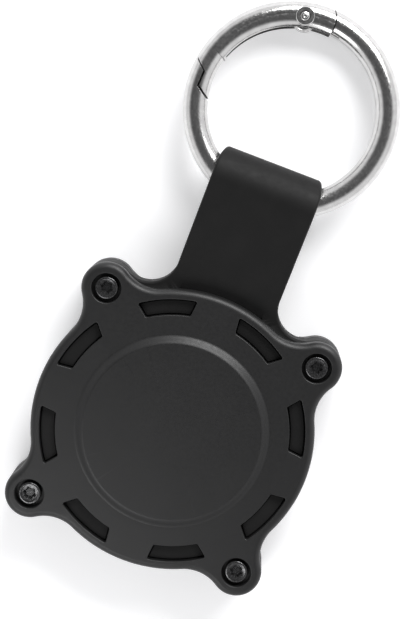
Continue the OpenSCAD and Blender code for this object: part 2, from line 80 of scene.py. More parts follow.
# %% Camera
VIEW_TURN = 21.0  # degrees that the strap leans to the right of upright
VIEW_TILT = 7.24  # degrees that the camera leans back over the case
VIEW_ROLL = 0.61
VIEW_OFFSET = Vector((-4.56, -18.44, -241.21))  # the case's centre as the camera sees it
FOCAL_SHARE = 1600 / 619  # focal length as a share of the picture's height
SENSOR = 36.0
DISC_RISE = 0.8  # the disc stands this far above the flange, where the view was fitted

fitted_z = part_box("front_cover")[1].z / MM - DISC_RISE
turn = (
    Matrix.Rotation(-radians(VIEW_TURN), 3, "Z")
    @ Matrix.Rotation(radians(VIEW_TILT), 3, "X")
    @ Matrix.Rotation(radians(VIEW_ROLL), 3, "Y")
)
camera_data = bpy.data.cameras.new("camera")
camera_data.sensor_width = SENSOR
camera_data.lens = FOCAL_SHARE * SENSOR
camera_data.clip_start = 10 * MM
camera = bpy.data.objects.new("camera", camera_data)
camera_place = turn.transposed() @ -VIEW_OFFSET + Vector((0, 0, fitted_z))
camera.matrix_world = Matrix.Translation(camera_place * MM) @ turn.transposed().to_4x4()
scene.collection.objects.link(camera)
scene.camera = camera
print("camera stands at", [round(v) for v in camera_place], "mm")

# %% [markdown]
# These are the sizes of the case. The ones in the first group are read from the frame. The others
# are the covers' own: how far their edges are rounded, where the windows lie, and how the centre
# disc rises.

# %% Sizes of the case
CASE_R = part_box("front_cover")[1].x / MM
FACE_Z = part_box("front_cover")[1].z / MM
FRONT_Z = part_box("front_cover")[0].z / MM
REAR_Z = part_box("rear_cover")[1].z / MM
MID_Z = (FRONT_Z + REAR_Z) / 2
POCKET_R = MOUNTS["tag_pocket"]["dims"]["r_mm"]
POCKET_FLOOR = MOUNTS["tag_pocket"]["pos_m"][2] / MM - MOUNTS["tag_pocket"]["dims"]["length_mm"] / 2
screw_low, screw_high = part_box("cover_screw_1")
screw_middle = (screw_low + screw_high) / 2 / MM
SCREW_CIRCLE_R = hypot(screw_middle.x, screw_middle.y)

FLANGE_Z = FACE_Z - DISC_RISE
EAR_R = 3.85  # round of an ear about its screw
HOLLOW_R = 6.0  # hollow between an ear and the round side
EAR_COUNT = 4
EAR_STEP = 360 / EAR_COUNT
EAR_STEPS, HOLLOW_STEPS, SIDE_STEPS = 30, 14, 22  # points of each arc in the outline
EDGE_ROUND = 1.0  # outer edges of both covers
SEAM_ROUND = 0.2  # edges that face the soft moulding
OVERRUN = 1.0  # how far a cutter stands out of what it cuts

hollow_reach = CASE_R + HOLLOW_R
hollow_turn = degrees(acos(
    (hollow_reach**2 + SCREW_CIRCLE_R**2 - (EAR_R + HOLLOW_R) ** 2)
    / (2 * hollow_reach * SCREW_CIRCLE_R)
))
print("case radius", round(CASE_R, 2), "screws at", round(SCREW_CIRCLE_R, 2), "mm")

# %% [markdown]
# Every outline here is a chain of arcs, so one helper gives the points of an arc and leaves out
# the last, which the next arc brings. The case's outline can be drawn in by a distance: an arc
# that bulges loses that much of its radius and a hollow one gains it. Drawn in step by step it
# rounds an edge, as a cutter with a rounded corner would.

# %% Arcs and the case's outline
def polar(r, a):
    return Vector((r * cos(radians(a)), r * sin(radians(a))))


def arc(middle, r, start, end, steps):
    return [Vector(middle) + polar(r, start + (end - start) * k / steps) for k in range(steps)]


def turned(p, a):
    return Vector((
        p.x * cos(radians(a)) - p.y * sin(radians(a)),
        p.x * sin(radians(a)) + p.y * cos(radians(a)),
    ))


def case_outline(inset):
    middle = polar(hollow_reach, hollow_turn)
    ear_turn = degrees(atan2(middle.y, middle.x - SCREW_CIRCLE_R))
    hollow_r = HOLLOW_R + inset
    stretch = (
        arc((middle.x, -middle.y), hollow_r, 180 - hollow_turn, 180 - ear_turn, HOLLOW_STEPS)
        + arc((SCREW_CIRCLE_R, 0), EAR_R - inset, -ear_turn, ear_turn, EAR_STEPS)
        + arc(middle, hollow_r, ear_turn - 180, hollow_turn - 180, HOLLOW_STEPS)
        + arc((0, 0), CASE_R - inset, hollow_turn, EAR_STEP - hollow_turn, SIDE_STEPS)
    )
    return [turned(p, (i + 0.5) * EAR_STEP) for i in range(EAR_COUNT) for p in stretch]


BEARINGS = [degrees(atan2(p.y, p.x)) for p in case_outline(0)]
print("points in the outline:", len(BEARINGS))

# %% [markdown]
# A moulded shell is easiest to make as a stack of rings with as many points each, skinned one to
# the next. The stack starts at the middle of one side, runs out round the edge and comes back to
# the middle of the other. A ring is either the case's outline or a circle whose points lie on the
# same bearings, so the skin never twists.

# %% Skinning rings
def at_height(outline, z):
    return [Vector((p.x, p.y, z)) for p in outline]


def ring_at(z, inset=None, r=None):
    if r is None:
        return at_height(case_outline(inset), z)
    return [Vector((*polar(r, a), z)) for a in BEARINGS]


def mesh_piece(name, points, faces):
    mesh = bpy.data.meshes.new(name)
    mesh.from_pydata([tuple(p * MM) for p in points], [], faces)
    mesh.validate()
    piece = bpy.data.objects.new(name, mesh)
    scene.collection.objects.link(piece)
    return piece


def skin(name, rings, loop=False):
    n, m = len(rings[0]), len(rings)
    points = [p for ring in rings for p in ring]
    faces = []
    for j in range(m if loop else m - 1):
        for i in range(n):
            a, b = j * n + i, j * n + (i + 1) % n
            c, d = (j + 1) % m * n + i, (j + 1) % m * n + (i + 1) % n
            faces.append((a, b, d, c))
    if not loop:
        faces.append(tuple(range(n - 1, -1, -1)))
        faces.append(tuple(range((m - 1) * n, m * n)))
    return mesh_piece(name, points, faces)


print("a ring of the case has", len(ring_at(0, inset=0)), "points")

# %% [markdown]
# Two more ways to the same skin: a lathe turns a profile of radii and heights round an axis, and a
# prism lifts a flat outline. A rounded edge is a quarter circle in either, so it gets a function
# of its own, which gives for each step how far the edge stands in and how far down it is.

# %% Lathes, prisms and rounded edges
AXIS_R = 0.01  # a profile ends this near to the axis, so that its end stays one flat face
LATHE_SIDES = 64


def lathe(name, profile, middle=(0, 0), sides=LATHE_SIDES):
    rings = [[Vector((*(Vector(middle) + polar(r, 360 * k / sides)), z)) for k in range(sides)]
             for r, z in profile]
    return skin(name, rings)


def spindle(name, profile, middle=(0, 0), sides=LATHE_SIDES):
    """A lathe's form with flat ends, which the profile leaves out."""
    low, high = (AXIS_R, profile[0][1]), (AXIS_R, profile[-1][1])
    return lathe(name, [low, *profile, high], middle, sides)


def prism(name, outline, low, high):
    return skin(name, [at_height(outline, z) for z in (low, high)])


def rounding(r, steps):
    turns = [radians(90 * s / steps) for s in range(steps + 1)]
    return [(r * (1 - sin(a)), r * (1 - cos(a))) for a in turns]


print("a rounded edge starts", rounding(EDGE_ROUND, 8)[0][0], "mm in")

# %% [markdown]
# Holes and windows are cut by a boolean, which leaves them exactly where the drawing puts them.
# Its edges would be razor sharp, so every cutter flares out at its mouth like the lead-in of a
# mould. Pieces that don't touch are joined into one cutter first, because a boolean takes its
# time.

# %% Cutting and joining
def apply_modifier(piece, kind, **values):
    modifier = piece.modifiers.new(kind.lower(), kind)
    for key, value in values.items():
        setattr(modifier, key, value)
    with bpy.context.temp_override(object=piece, active_object=piece, selected_objects=[piece]):
        bpy.ops.object.modifier_apply(modifier=modifier.name)


def combine(piece, tools, operation):
    for tool in tools:
        apply_modifier(piece, "BOOLEAN", object=tool, operation=operation, solver="EXACT")
        bpy.data.objects.remove(tool)
    return piece


def cut(piece, *tools):
    return combine(piece, tools, "DIFFERENCE")


def fuse(piece, *tools):
    return combine(piece, tools, "UNION")


def trim(piece, *tools):
    return combine(piece, tools, "INTERSECT")


def joined(name, parts):
    points, faces = [], []
    for part in parts:
        first = len(points)
        points += [v.co / MM for v in part.data.vertices]
        faces += [tuple(first + i for i in f.vertices) for f in part.data.polygons]
        bpy.data.objects.remove(part)
    return mesh_piece(name, points, faces)


print("booleans cut, fuse and trim")

# %% [markdown]
# Weighted normals keep a flat face flat to the eye, right up to the small roundings at its edges.
# After that a piece takes its finish, rides on the body that moves it, and stands for the solid
# that it replaces.

# %% Smoothing and placing
SHARP_ANGLE = 32
NORMAL_WEIGHT = 80


def smooth(piece, angle=SHARP_ANGLE):
    piece.data.shade_smooth()
    piece.data.set_sharp_from_angle(angle=radians(angle))
    apply_modifier(piece, "WEIGHTED_NORMAL", keep_sharp=True, weight=NORMAL_WEIGHT)
    return piece


def place(piece, body, material, node):
    piece.data.materials.clear()
    piece.data.materials.append(material)
    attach(piece, body)
    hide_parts(node)
    print(piece.name, "has", len(piece.data.polygons), "faces")


print("edges steeper than", SHARP_ANGLE, "degrees stay sharp")

# %% [markdown]
# Every finish here starts from one shader with its constant values, and a noise then varies what
# the eye would miss if it were even: the colour, the roughness, and a grain too fine to see as
# bumps, which is what makes a surface matte. Photographs of surfaces could do this too, but noise
# needs no unwrapping, and its size is given in millimetres, like the part's.

# %% A shader, its noise and its grain
NOISE_DETAIL = 3.0
NOISE_LOW, NOISE_HIGH = 0.3, 0.7  # where nearly all of a noise's values lie


def new_material(name, color, roughness, metallic=0.0, specular=0.5):
    material = bpy.data.materials.new(name)
    material.use_nodes = True
    shader = material.node_tree.nodes["Principled BSDF"]
    shader.inputs["Base Color"].default_value = (*color, 1)
    shader.inputs["Roughness"].default_value = roughness
    shader.inputs["Metallic"].default_value = metallic
    shader.inputs["Specular IOR Level"].default_value = specular
    return material, shader


def noise(material, size_mm):
    nodes, links = material.node_tree.nodes, material.node_tree.links
    coordinates = nodes.new("ShaderNodeTexCoord")
    texture = nodes.new("ShaderNodeTexNoise")
    texture.inputs["Scale"].default_value = 1 / (size_mm * MM)
    texture.inputs["Detail"].default_value = NOISE_DETAIL
    links.new(coordinates.outputs["Object"], texture.inputs["Vector"])
    return texture.outputs["Fac"]


def vary_roughness(material, shader, size_mm, low, high):
    level = material.node_tree.nodes.new("ShaderNodeMapRange")
    level.inputs["From Min"].default_value = NOISE_LOW
    level.inputs["From Max"].default_value = NOISE_HIGH
    level.inputs["To Min"].default_value = low
    level.inputs["To Max"].default_value = high
    material.node_tree.links.new(noise(material, size_mm), level.inputs["Value"])
    material.node_tree.links.new(level.outputs["Result"], shader.inputs["Roughness"])


def vary_color(material, shader, size_mm, dark, light):
    ramp = material.node_tree.nodes.new("ShaderNodeValToRGB")
    ends = ramp.color_ramp.elements
    ends[0].position, ends[1].position = NOISE_LOW, NOISE_HIGH
    ends[0].color, ends[1].color = (*dark, 1), (*light, 1)
    material.node_tree.links.new(noise(material, size_mm), ramp.inputs["Fac"])
    material.node_tree.links.new(ramp.outputs["Color"], shader.inputs["Base Color"])


def grain(material, shader, size_mm, depth_mm, strength):
    bump = material.node_tree.nodes.new("ShaderNodeBump")
    bump.inputs["Strength"].default_value = strength
    bump.inputs["Distance"].default_value = depth_mm * MM
    material.node_tree.links.new(noise(material, size_mm), bump.inputs["Height"])
    material.node_tree.links.new(bump.outputs["Normal"], shader.inputs["Normal"])


print("noise runs from", NOISE_LOW, "to", NOISE_HIGH)

# %% [markdown]
# The covers are moulded in black plastic with a satin texture. Black shows almost nothing but
# reflections, so the colour stays near black and the roughness does the work: it is what turns
# the lamps into the broad, soft grey that lies over the face. A lighter colour would give the
# grey too, but it would lie as evenly in the shade as in the light.

# %% Cover plastic
cover_plastic, shader = new_material(
    "cover_plastic", color=(0.008, 0.008, 0.0082), roughness=0.46, specular=0.44)
vary_color(cover_plastic, shader, size_mm=6.0,
           dark=(0.0072, 0.0072, 0.0074), light=(0.0088, 0.0088, 0.009))
vary_roughness(cover_plastic, shader, size_mm=0.5, low=0.43, high=0.5)
grain(cover_plastic, shader, size_mm=0.09, depth_mm=0.01, strength=0.35)
print("made", cover_plastic.name)

# %% [markdown]
# The strap is a soft rubber. It is as black as the covers but duller, with a faint bloom where it
# is seen at a low angle. More roughness alone would grey the whole strap, and a little sheen
# greys only its edges.

# %% Strap rubber
strap_rubber, shader = new_material(
    "strap_rubber", color=(0.007, 0.0068, 0.0068), roughness=0.58, specular=0.17)
shader.inputs["Sheen Weight"].default_value = 0.03
shader.inputs["Sheen Roughness"].default_value = 0.5
vary_color(strap_rubber, shader, size_mm=4.0,
           dark=(0.006, 0.006, 0.006), light=(0.008, 0.0078, 0.0078))
vary_roughness(strap_rubber, shader, size_mm=0.8, low=0.54, high=0.63)
grain(strap_rubber, shader, size_mm=0.07, depth_mm=0.012, strength=0.4)
print("made", strap_rubber.name)

# %% [markdown]
# Metal is polished where a cloth can reach, and narrow gaps are left duller. Where little light
# gets in, the colour is also painted dark, as painted shade, and the roughness is raised. A node
# that measures how open each point is drives both, and it follows the gate when it opens.

# %% Dark gaps
GAP_CLOSED, GAP_OPEN = 0.25, 0.7  # share of open sky in a gap and on a free face
GAP_SAMPLES = 6


def paint_gap_shade(material, shader, reach_mm, dark, dull):
    """Paints shade into the metal's colour and dulls it in gaps that are narrower than the reach."""
    nodes, links = material.node_tree.nodes, material.node_tree.links
    open_share = nodes.new("ShaderNodeAmbientOcclusion")
    open_share.samples = GAP_SAMPLES
    open_share.inputs["Distance"].default_value = reach_mm * MM
    level = nodes.new("ShaderNodeMapRange")
    level.inputs["From Min"].default_value = GAP_CLOSED
    level.inputs["From Max"].default_value = GAP_OPEN
    # painted shade: the colour goes towards dark where the gap is closed
    mix = nodes.new("ShaderNodeMix")
    mix.data_type = "RGBA"
    mix.inputs["A"].default_value = (*dark, 1)
    links.new(shader.inputs["Base Color"].links[0].from_socket, mix.inputs["B"])
    finish = nodes.new("ShaderNodeMix")
    finish.inputs["A"].default_value = dull
    links.new(shader.inputs["Roughness"].links[0].from_socket, finish.inputs["B"])
    links.new(open_share.outputs["AO"], level.inputs["Value"])
    for node, socket in ((mix, "Base Color"), (finish, "Roughness")):
        links.new(level.outputs["Result"], node.inputs["Factor"])
        links.new(node.outputs["Result"], shader.inputs[socket])


print("gaps close below", GAP_CLOSED, "of open sky")

# %% [markdown]
# The screws are steel with a black oxide skin, half glossy and a little uneven, and their sockets
# get painted shade inside. The ring and its gate are plated and tumbled, so they mirror the room
# with a fine haze: a low roughness that a noise raises in spots, and a bump far too small to see
# as dents.

# %% Screws' and ring's metal
screw_black, shader = new_material(
    "screw_black", color=(0.08, 0.08, 0.082), roughness=0.22, metallic=0.85)
vary_color(screw_black, shader, size_mm=0.18,
           dark=(0.04, 0.04, 0.041), light=(0.14, 0.14, 0.142))
vary_roughness(screw_black, shader, size_mm=0.25, low=0.16, high=0.3)
# painted shade inside the sockets, with duller metal there
paint_gap_shade(screw_black, shader, reach_mm=0.7, dark=(0.004, 0.004, 0.004), dull=0.7)
grain(screw_black, shader, size_mm=0.05, depth_mm=0.006, strength=0.3)

ring_nickel, shader = new_material(
    "ring_nickel", color=(0.62, 0.61, 0.6), roughness=0.12, metallic=1.0)
vary_color(ring_nickel, shader, size_mm=1.2,
           dark=(0.57, 0.565, 0.56), light=(0.67, 0.665, 0.66))
vary_roughness(ring_nickel, shader, size_mm=0.3, low=0.12, high=0.26)
# painted shade in the seams and round the nose, with duller metal there
paint_gap_shade(ring_nickel, shader, reach_mm=1.6, dark=(0.006, 0.006, 0.006), dull=0.9)
grain(ring_nickel, shader, size_mm=0.16, depth_mm=0.008, strength=0.3)
print("made", screw_black.name, "and", ring_nickel.name)

# %% [markdown]
# The small metal parts hardly show. One grain each keeps them from looking like mirrors: the
# rivet is bright, the spring's drawn wire is duller and the inserts are plain turned brass.

# %% Rivet, spring and inserts
def small_metal(name, color, roughness, size_mm, depth_mm):
    material, shader = new_material(name, color, roughness, metallic=1.0)
    grain(material, shader, size_mm, depth_mm, strength=0.3)
    return material


rivet_steel = small_metal(
    "rivet_steel", color=(0.66, 0.655, 0.65), roughness=0.2, size_mm=0.1, depth_mm=0.006)
spring_steel = small_metal(
    "spring_steel", color=(0.42, 0.42, 0.43), roughness=0.28, size_mm=0.06, depth_mm=0.004)
insert_brass = small_metal(
    "insert_brass", color=(0.7, 0.5, 0.22), roughness=0.3, size_mm=0.08, depth_mm=0.006)
print("made the small metals")

# %% [markdown]
# The windows are short arcs with slanted ends and small corner radii. Each corner is an arc round
# a point that lies inside the window by the corner's radius. Growing the window only widens those
# arcs, so one function gives the hole, its flared mouth and the slightly smaller soft pad in it.

# %% Window outline
WINDOW_COUNT = 8
WINDOW_INSET = 1.55  # from the pocket's wall out to the windows
WINDOW_H = 2.35  # from a window's inner edge to its outer edge
WINDOW_IN_W = 7.0  # along the inner edge
WINDOW_OUT_W = 9.6  # along the outer edge
WINDOW_CORNER = 0.3
LONG_STEPS, CORNER_STEPS = 8, 5  # points of half a long side and of a corner
window_in_r = POCKET_R + WINDOW_INSET
window_out_r = window_in_r + WINDOW_H


def window_outline(grow, bearing):
    slant = Vector((-(WINDOW_OUT_W - WINDOW_IN_W) / 2, WINDOW_H)).normalized()
    reach = slant.dot(Vector((window_in_r, WINDOW_IN_W / 2))) - WINDOW_CORNER
    side = degrees(atan2(slant.y, slant.x))
    out_r, in_r = window_out_r - WINDOW_CORNER, window_in_r + WINDOW_CORNER
    out_turn = side - degrees(acos(reach / out_r))
    in_turn = side - degrees(acos(reach / in_r))
    r = WINDOW_CORNER + grow
    half = (
        arc((0, 0), window_out_r + grow, 0, out_turn, LONG_STEPS)
        + arc(polar(out_r, out_turn), r, out_turn, side, CORNER_STEPS)
        + arc(polar(in_r, in_turn), r, side, in_turn + 180, CORNER_STEPS)
        + arc((0, 0), window_in_r - grow, in_turn, 0, LONG_STEPS)
    )
    other = [Vector((p.x, -p.y)) for p in reversed(half[1:])]
    start_in = polar(window_in_r - grow, 0)
    return [turned(p, bearing) for p in half + [start_in] + other]


def window_stack(name, bearing, levels):
    return skin(name, [at_height(window_outline(grow, bearing), z) for grow, z in levels])


WINDOW_BEARINGS = [(i + 0.5) * 360 / WINDOW_COUNT for i in range(WINDOW_COUNT)]
print("points in a window:", len(window_outline(0, 0)))

# %% [markdown]
# A window's cutter is a stack of its outlines: straight down through the cover, and flared at the
# mouth. The screws' cutter is turned like a stepped drill: a clearance hole, a counterbore for
# the head and the same small flare.

# %% Cutters
MOUTH_ROUND = 0.14
MOUTH_SPREAD = 0.3  # share of the rounding that a mouth still widens by above the face
COUNTERBORE_R = 2.25
SHANK_HOLE_R = 1.2
SCREW_SIDES = 72
HEAD_H = 1.15
HEAD_SINK = 0.35  # how far a screw's head lies below the flange
SEAT_Z = FLANGE_Z - HEAD_SINK - HEAD_H
# growth and height over the face of a flared mouth, along a quarter circle
FLARE = [(MOUTH_ROUND * (1 - cos(radians(a))), MOUTH_ROUND * (sin(radians(a)) - 1))
         for a in (0, 30, 60, 82)]


def window_cutters(name, low, high, mouth_up=True):
    levels = [(0, low)] + [(grow, high + dz) for grow, dz in FLARE]
    levels.append((FLARE[-1][0] + MOUTH_ROUND * MOUTH_SPREAD, high + OVERRUN))
    if not mouth_up:
        levels = [(grow, low + high - z) for grow, z in reversed(levels)]
    return joined(name, [window_stack("window", bearing, levels) for bearing in WINDOW_BEARINGS])


def screw_places():
    return [polar(SCREW_CIRCLE_R, (i + 0.5) * EAR_STEP) for i in range(EAR_COUNT)]


def screw_hole_cutters(name, profile):
    return joined(name, [spindle("hole", profile, at, SCREW_SIDES) for at in screw_places()])


print("flare of a mouth:", [tuple(round(v, 3) for v in f) for f in FLARE])

# %% [markdown]
# The front cover is a shallow lid. Its stack of rings starts under the centre disc, runs out
# along the hollow that clears the tag, up the rounded outer edge, in over the flat flange and up
# a soft slope onto the disc. A lathe alone would miss the ears, and a lifted outline the slope. The
# slope eases in and out, so the light fades across it.

# %% Front cover
SLOPE_OUT_R = 14.86
SLOPE_IN_R = 13.38
SLOPE_STEPS = 14
LID_T = 1.2  # wall over the hollow that clears the tag
LID_GAP = 0.2  # how much wider that hollow is than the pocket
CROWN_T = 1.1  # wall under the disc
CROWN_R = 13.175  # of the step under the disc
lid_hollow_r = POCKET_R + LID_GAP
lid_hollow_z = FLANGE_Z - LID_T
crown_z = FACE_Z - CROWN_T


def eased(t):
    return t * t * (3 - 2 * t)


def rounded_side(low, high, low_round, high_round, steps=8):
    """Rings up the outer wall, with both of its edges rounded."""
    up = [ring_at(low + rise, inset=inset) for inset, rise in rounding(low_round, steps)]
    over = [ring_at(high - drop, inset=inset) for drop, inset in rounding(high_round, steps)]
    return up + over


slope = [
    ring_at(FLANGE_Z + DISC_RISE * eased(s / SLOPE_STEPS),
            r=SLOPE_OUT_R + (SLOPE_IN_R - SLOPE_OUT_R) * s / SLOPE_STEPS)
    for s in range(SLOPE_STEPS + 1)
]
front = skin("front_cover_shell", [
    ring_at(crown_z, r=CROWN_R / 3), ring_at(crown_z, r=CROWN_R), ring_at(lid_hollow_z, r=CROWN_R),
    ring_at(lid_hollow_z, r=lid_hollow_r), ring_at(FRONT_Z, r=lid_hollow_r),
    *rounded_side(FRONT_Z, FLANGE_Z, SEAM_ROUND, EDGE_ROUND),
    *slope, ring_at(FACE_Z, r=SLOPE_IN_R / 3),
])
counterbore = [
    (SHANK_HOLE_R, FRONT_Z - OVERRUN), (SHANK_HOLE_R, SEAT_Z), (COUNTERBORE_R, SEAT_Z),
    *((COUNTERBORE_R + grow, FLANGE_Z + dz) for grow, dz in FLARE),
    (COUNTERBORE_R + (1 + MOUTH_SPREAD) * MOUTH_ROUND, FLANGE_Z + OVERRUN),
]
cut(front, window_cutters("front_windows", FRONT_Z - OVERRUN, FLANGE_Z),
    screw_hole_cutters("counterbores", counterbore))
place(smooth(front), "front", cover_plastic, "front_cover")

# %% [markdown]
# The rear cover is the front's twin in outline, with a flat back that the case lies on. A mirrored
# copy of the front would bring the disc along, so the same functions skin it anew, with a plain
# round well for its pocket and with windows that open downwards.

# %% Rear cover
INSERT_R = 1.6
INSERT_HOLE_DEPTH = 2.4
rear = skin("rear_cover_shell", [
    ring_at(0, r=POCKET_R / 3), ring_at(0, r=POCKET_R),
    *rounded_side(0, REAR_Z, EDGE_ROUND, SEAM_ROUND),
    ring_at(REAR_Z, r=POCKET_R), ring_at(POCKET_FLOOR, r=POCKET_R),
    ring_at(POCKET_FLOOR, r=POCKET_R / 3),
])
insert_hole = [(INSERT_R, REAR_Z - INSERT_HOLE_DEPTH), (INSERT_R, REAR_Z + OVERRUN)]
cut(rear, window_cutters("rear_windows", 0, REAR_Z + OVERRUN, mouth_up=False),
    screw_hole_cutters("insert_holes", insert_hole))
place(smooth(rear), "case", cover_plastic, "rear_cover")

# %% [markdown]
# Seen from the side the strap leaves the case as two straight layers that part slowly, and a
# round fold joins them. A flat plate could be bent with a modifier, but the fold's round has to
# fit the ring's wire. So the strap is swept as one ribbon along a line that is drawn first: the
# upper layer, the fold, and the upper layer's mirror image.

# %% Strap route
STRAP_T = 1.5
STRAP_HALF_W = 8.2
LAYER_GAP = 1.0  # between the layers at the case's edge
ROOT_Y = 18.6  # the ribbon starts inside the soft frame
LAYER_STEPS, FOLD_STEPS = 46, 44
LAYER_CROWDING = 1.25  # above 1, the sections stand closer near the case
PIVOT = Vector(JOINTS["ring_swing"]["pos_m"]) / MM
STRAP_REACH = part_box("strap")[1].y / MM
fold_mid_r = STRAP_REACH - PIVOT.y - STRAP_T / 2
root_half_h = LAYER_GAP / 2 + STRAP_T
fold_r = STRAP_REACH - PIVOT.y
layer_l = PIVOT.y - CASE_R
layer_angle = asin(fold_r / hypot(layer_l, root_half_h)) - atan2(root_half_h, layer_l)


def layer_rise(length):
    return length * sin(layer_angle) / cos(layer_angle)


def strap_route():
    """Points (y, z) of the ribbon's middle and their outward normals, upper layer first."""
    normal = Vector((-sin(layer_angle), cos(layer_angle)))
    touch = Vector((PIVOT.y - fold_mid_r * sin(layer_angle), MID_Z + fold_mid_r * cos(layer_angle)))
    layer = []
    for s in range(LAYER_STEPS):
        y = ROOT_Y + (touch.x - ROOT_Y) * (s / LAYER_STEPS) ** LAYER_CROWDING
        layer.append((Vector((y, touch.y - layer_rise(touch.x - y))), normal))
    start = pi / 2 + layer_angle
    fold = []
    for s in range(FOLD_STEPS + 1):
        a = start - 2 * start * s / FOLD_STEPS
        out = Vector((cos(a), sin(a)))
        fold.append((Vector((PIVOT.y, MID_Z)) + fold_mid_r * out, out))
    lower = [(Vector((p.x, 2 * MID_Z - p.y)), Vector((n.x, -n.y))) for p, n in reversed(layer)]
    return layer + fold + lower


print("layers part at", round(degrees(layer_angle), 2), "degrees")

# %% [markdown]
# The cross-section that travels along the line is a flat bar whose two edges are rounded. Its
# width stays the same up to the fold, where it is drawn in a little. Each point finds its half
# width from its own place, so the sides stay upright through the fold, as if the ribbon had been
# stamped out in its folded shape.

# %% Strap ribbon
FOLD_SIDE_R = 5.6  # of the curve that draws the sides in at the fold
FOLD_SIDE_L = 2.7  # length of that curve along the strap
STRAP_EDGE_R = 0.42
STRAP_EDGE_STEPS = 6
ACROSS = 12


def strap_half_width(y):
    along = y - (STRAP_REACH - FOLD_SIDE_L)
    if along <= 0:
        return STRAP_HALF_W
    return STRAP_HALF_W - FOLD_SIDE_R + sqrt(FOLD_SIDE_R**2 - along**2)


def ribbon_section():
    """Triples: share of the half width, inset of the edge, offset along the thickness."""
    half_t = STRAP_T / 2
    top = [(1 - 2 * k / ACROSS, 0, half_t) for k in range(1, ACROSS)]
    left = [(-1, inset, half_t - drop) for inset, drop in rounding(STRAP_EDGE_R, STRAP_EDGE_STEPS)]
    under_left = [(s, i, -t) for s, i, t in reversed(left)]
    bottom = [(-1 + 2 * k / ACROSS, 0, -half_t) for k in range(1, ACROSS)]
    right = [(-s, i, -t) for s, i, t in left]
    upper_right = [(-s, i, -t) for s, i, t in under_left]
    return top + left + under_left + bottom + right + upper_right


def ribbon_ring(point, normal, section):
    ring = []
    for share, inset, offset in section:
        y, z = point + normal * offset
        ring.append(Vector((share * strap_half_width(y) - share * inset, y, z)))
    return ring


section = ribbon_section()
ribbon = skin("ribbon", [ribbon_ring(p, n, section) for p, n in strap_route()])
print("ribbon sweeps", len(strap_route()), "sections")

# %% [markdown]
# At its foot the strap widens into the two upper ears, in a hollow on each side. The hollow is an
# arc that touches both the strap's edge and the ear's round, so a small block with that arc as its
# edge fills the corner. It stands a hair proud of the strap, so that no two faces fall into one
# plane when a boolean joins them.

# %% Strap feet
FOOT_R = 4.5
FOOT_BITE = 0.01  # how far the block reaches into the strap and the ear
FOOT_PROUD = 0.004  # how far it stands over the strap's faces
FOOT_STEPS = 36
FOOT_START = 182  # degrees: the arc starts just inside the strap's edge
FOOT_DEPTH = 1.4  # of the block behind its arc
FOOT_BELLY = 1.6  # how much deeper the block is halfway along its arc
ear_x = SCREW_CIRCLE_R * cos(radians(EAR_STEP / 2))
foot_x = STRAP_HALF_W + FOOT_R
foot_y = ear_x + sqrt((EAR_R + FOOT_R) ** 2 - (foot_x - ear_x) ** 2)


def foot_half_h(y):
    return root_half_h + FOOT_PROUD + layer_rise(max(0, y - CASE_R))


def foot(side):
    edge_turn = degrees(atan2(ear_x - foot_y, ear_x - foot_x)) % 360
    rings = []
    for k in range(FOOT_STEPS + 1):
        share = k / FOOT_STEPS
        way = polar(1, FOOT_START + (edge_turn - FOOT_START) * share)
        depth = FOOT_DEPTH + FOOT_BELLY * sin(pi * share)
        upper = [(depth, 0)] + rounding(STRAP_EDGE_R, STRAP_EDGE_STEPS)
        ring = []
        for sign, half_ring in ((1, upper), (-1, reversed(upper))):
            for back, drop in half_ring:
                p = Vector((foot_x, foot_y)) + way * (FOOT_R + FOOT_BITE + back)
                ring.append(Vector((side * p.x, p.y, MID_Z + sign * (foot_half_h(p.y) - drop))))
        rings.append(ring if side > 0 else ring[::-1])
    return skin("foot", rings)


feet = joined("feet", [foot(1), foot(-1)])
print("the feet's arcs turn round a point at", round(foot_y, 2), "mm")

# %% [markdown]
# Beyond the case's edge the feet are open between the layers like the strap itself, or the fold
# would look blocked from the side. One flat wedge cuts both feet, with the slope of the layers'
# inner faces.

# %% Slot between the layers
SLOT_HALF_W = STRAP_HALF_W + OVERRUN


def side_prism(name, outline, half_w):
    """A prism along x of an outline in y and z."""
    return skin(name, [[Vector((x, p.x, p.y)) for p in outline] for x in (-half_w, half_w)])


slot_h = root_half_h - STRAP_T / cos(layer_angle)
slot_end = PIVOT.y - fold_mid_r
slot_end_h = slot_h + layer_rise(slot_end - CASE_R)
cut(feet, side_prism("slot", [
    Vector((CASE_R, MID_Z - slot_h)), Vector((slot_end, MID_Z - slot_end_h)),
    Vector((slot_end, MID_Z + slot_end_h)), Vector((CASE_R, MID_Z + slot_h)),
], SLOT_HALF_W))
print("slot opens from", round(2 * slot_h, 2), "to", round(2 * slot_end_h, 2), "mm")

# %% [markdown]
# The ring's wire curves away from the case on its way through the fold, and comes closest to the
# soft wall at the strap's two sides. The fold's inside opens there like a funnel, so the ring
# swings freely.

# %% Flares of the fold
EYE = MOUNTS["ring_eye"]
WIRE_R = EYE["dims"]["length_mm"] / 2
RING_R = EYE["dims"]["r_mm"] + WIRE_R
ring_centre = Vector(EYE["pos_m"]) / MM
LOOP_GAP = 0.18  # between the ring's wire and the fold
FLARE_SIDES = 96
inner_r = RING_R - WIRE_R
loop_r = fold_r - STRAP_T
centre_d = hypot(ring_centre.y - PIVOT.y, ring_centre.z - MID_Z)
flare_r = centre_d - sqrt(inner_r**2 - (STRAP_HALF_W + abs(ring_centre.x)) ** 2) + LOOP_GAP
flare_x = sqrt(inner_r**2 - (centre_d + LOOP_GAP - loop_r) ** 2) - abs(ring_centre.x)
flare_slope = (flare_r - loop_r) / (STRAP_HALF_W - flare_x)


def flare(side):
    outside = STRAP_HALF_W + OVERRUN
    profile = [(AXIS_R, flare_x), (loop_r, flare_x), (flare_r + flare_slope * OVERRUN, outside),
               (AXIS_R, outside)]
    rings = []
    for r, x in profile:
        circle = arc((PIVOT.y, MID_Z), r, 0, 360, FLARE_SIDES)
        rings.append([Vector((side * x, p.x, p.y)) for p in (circle if side > 0 else circle[::-1])])
    return skin("flare", rings)


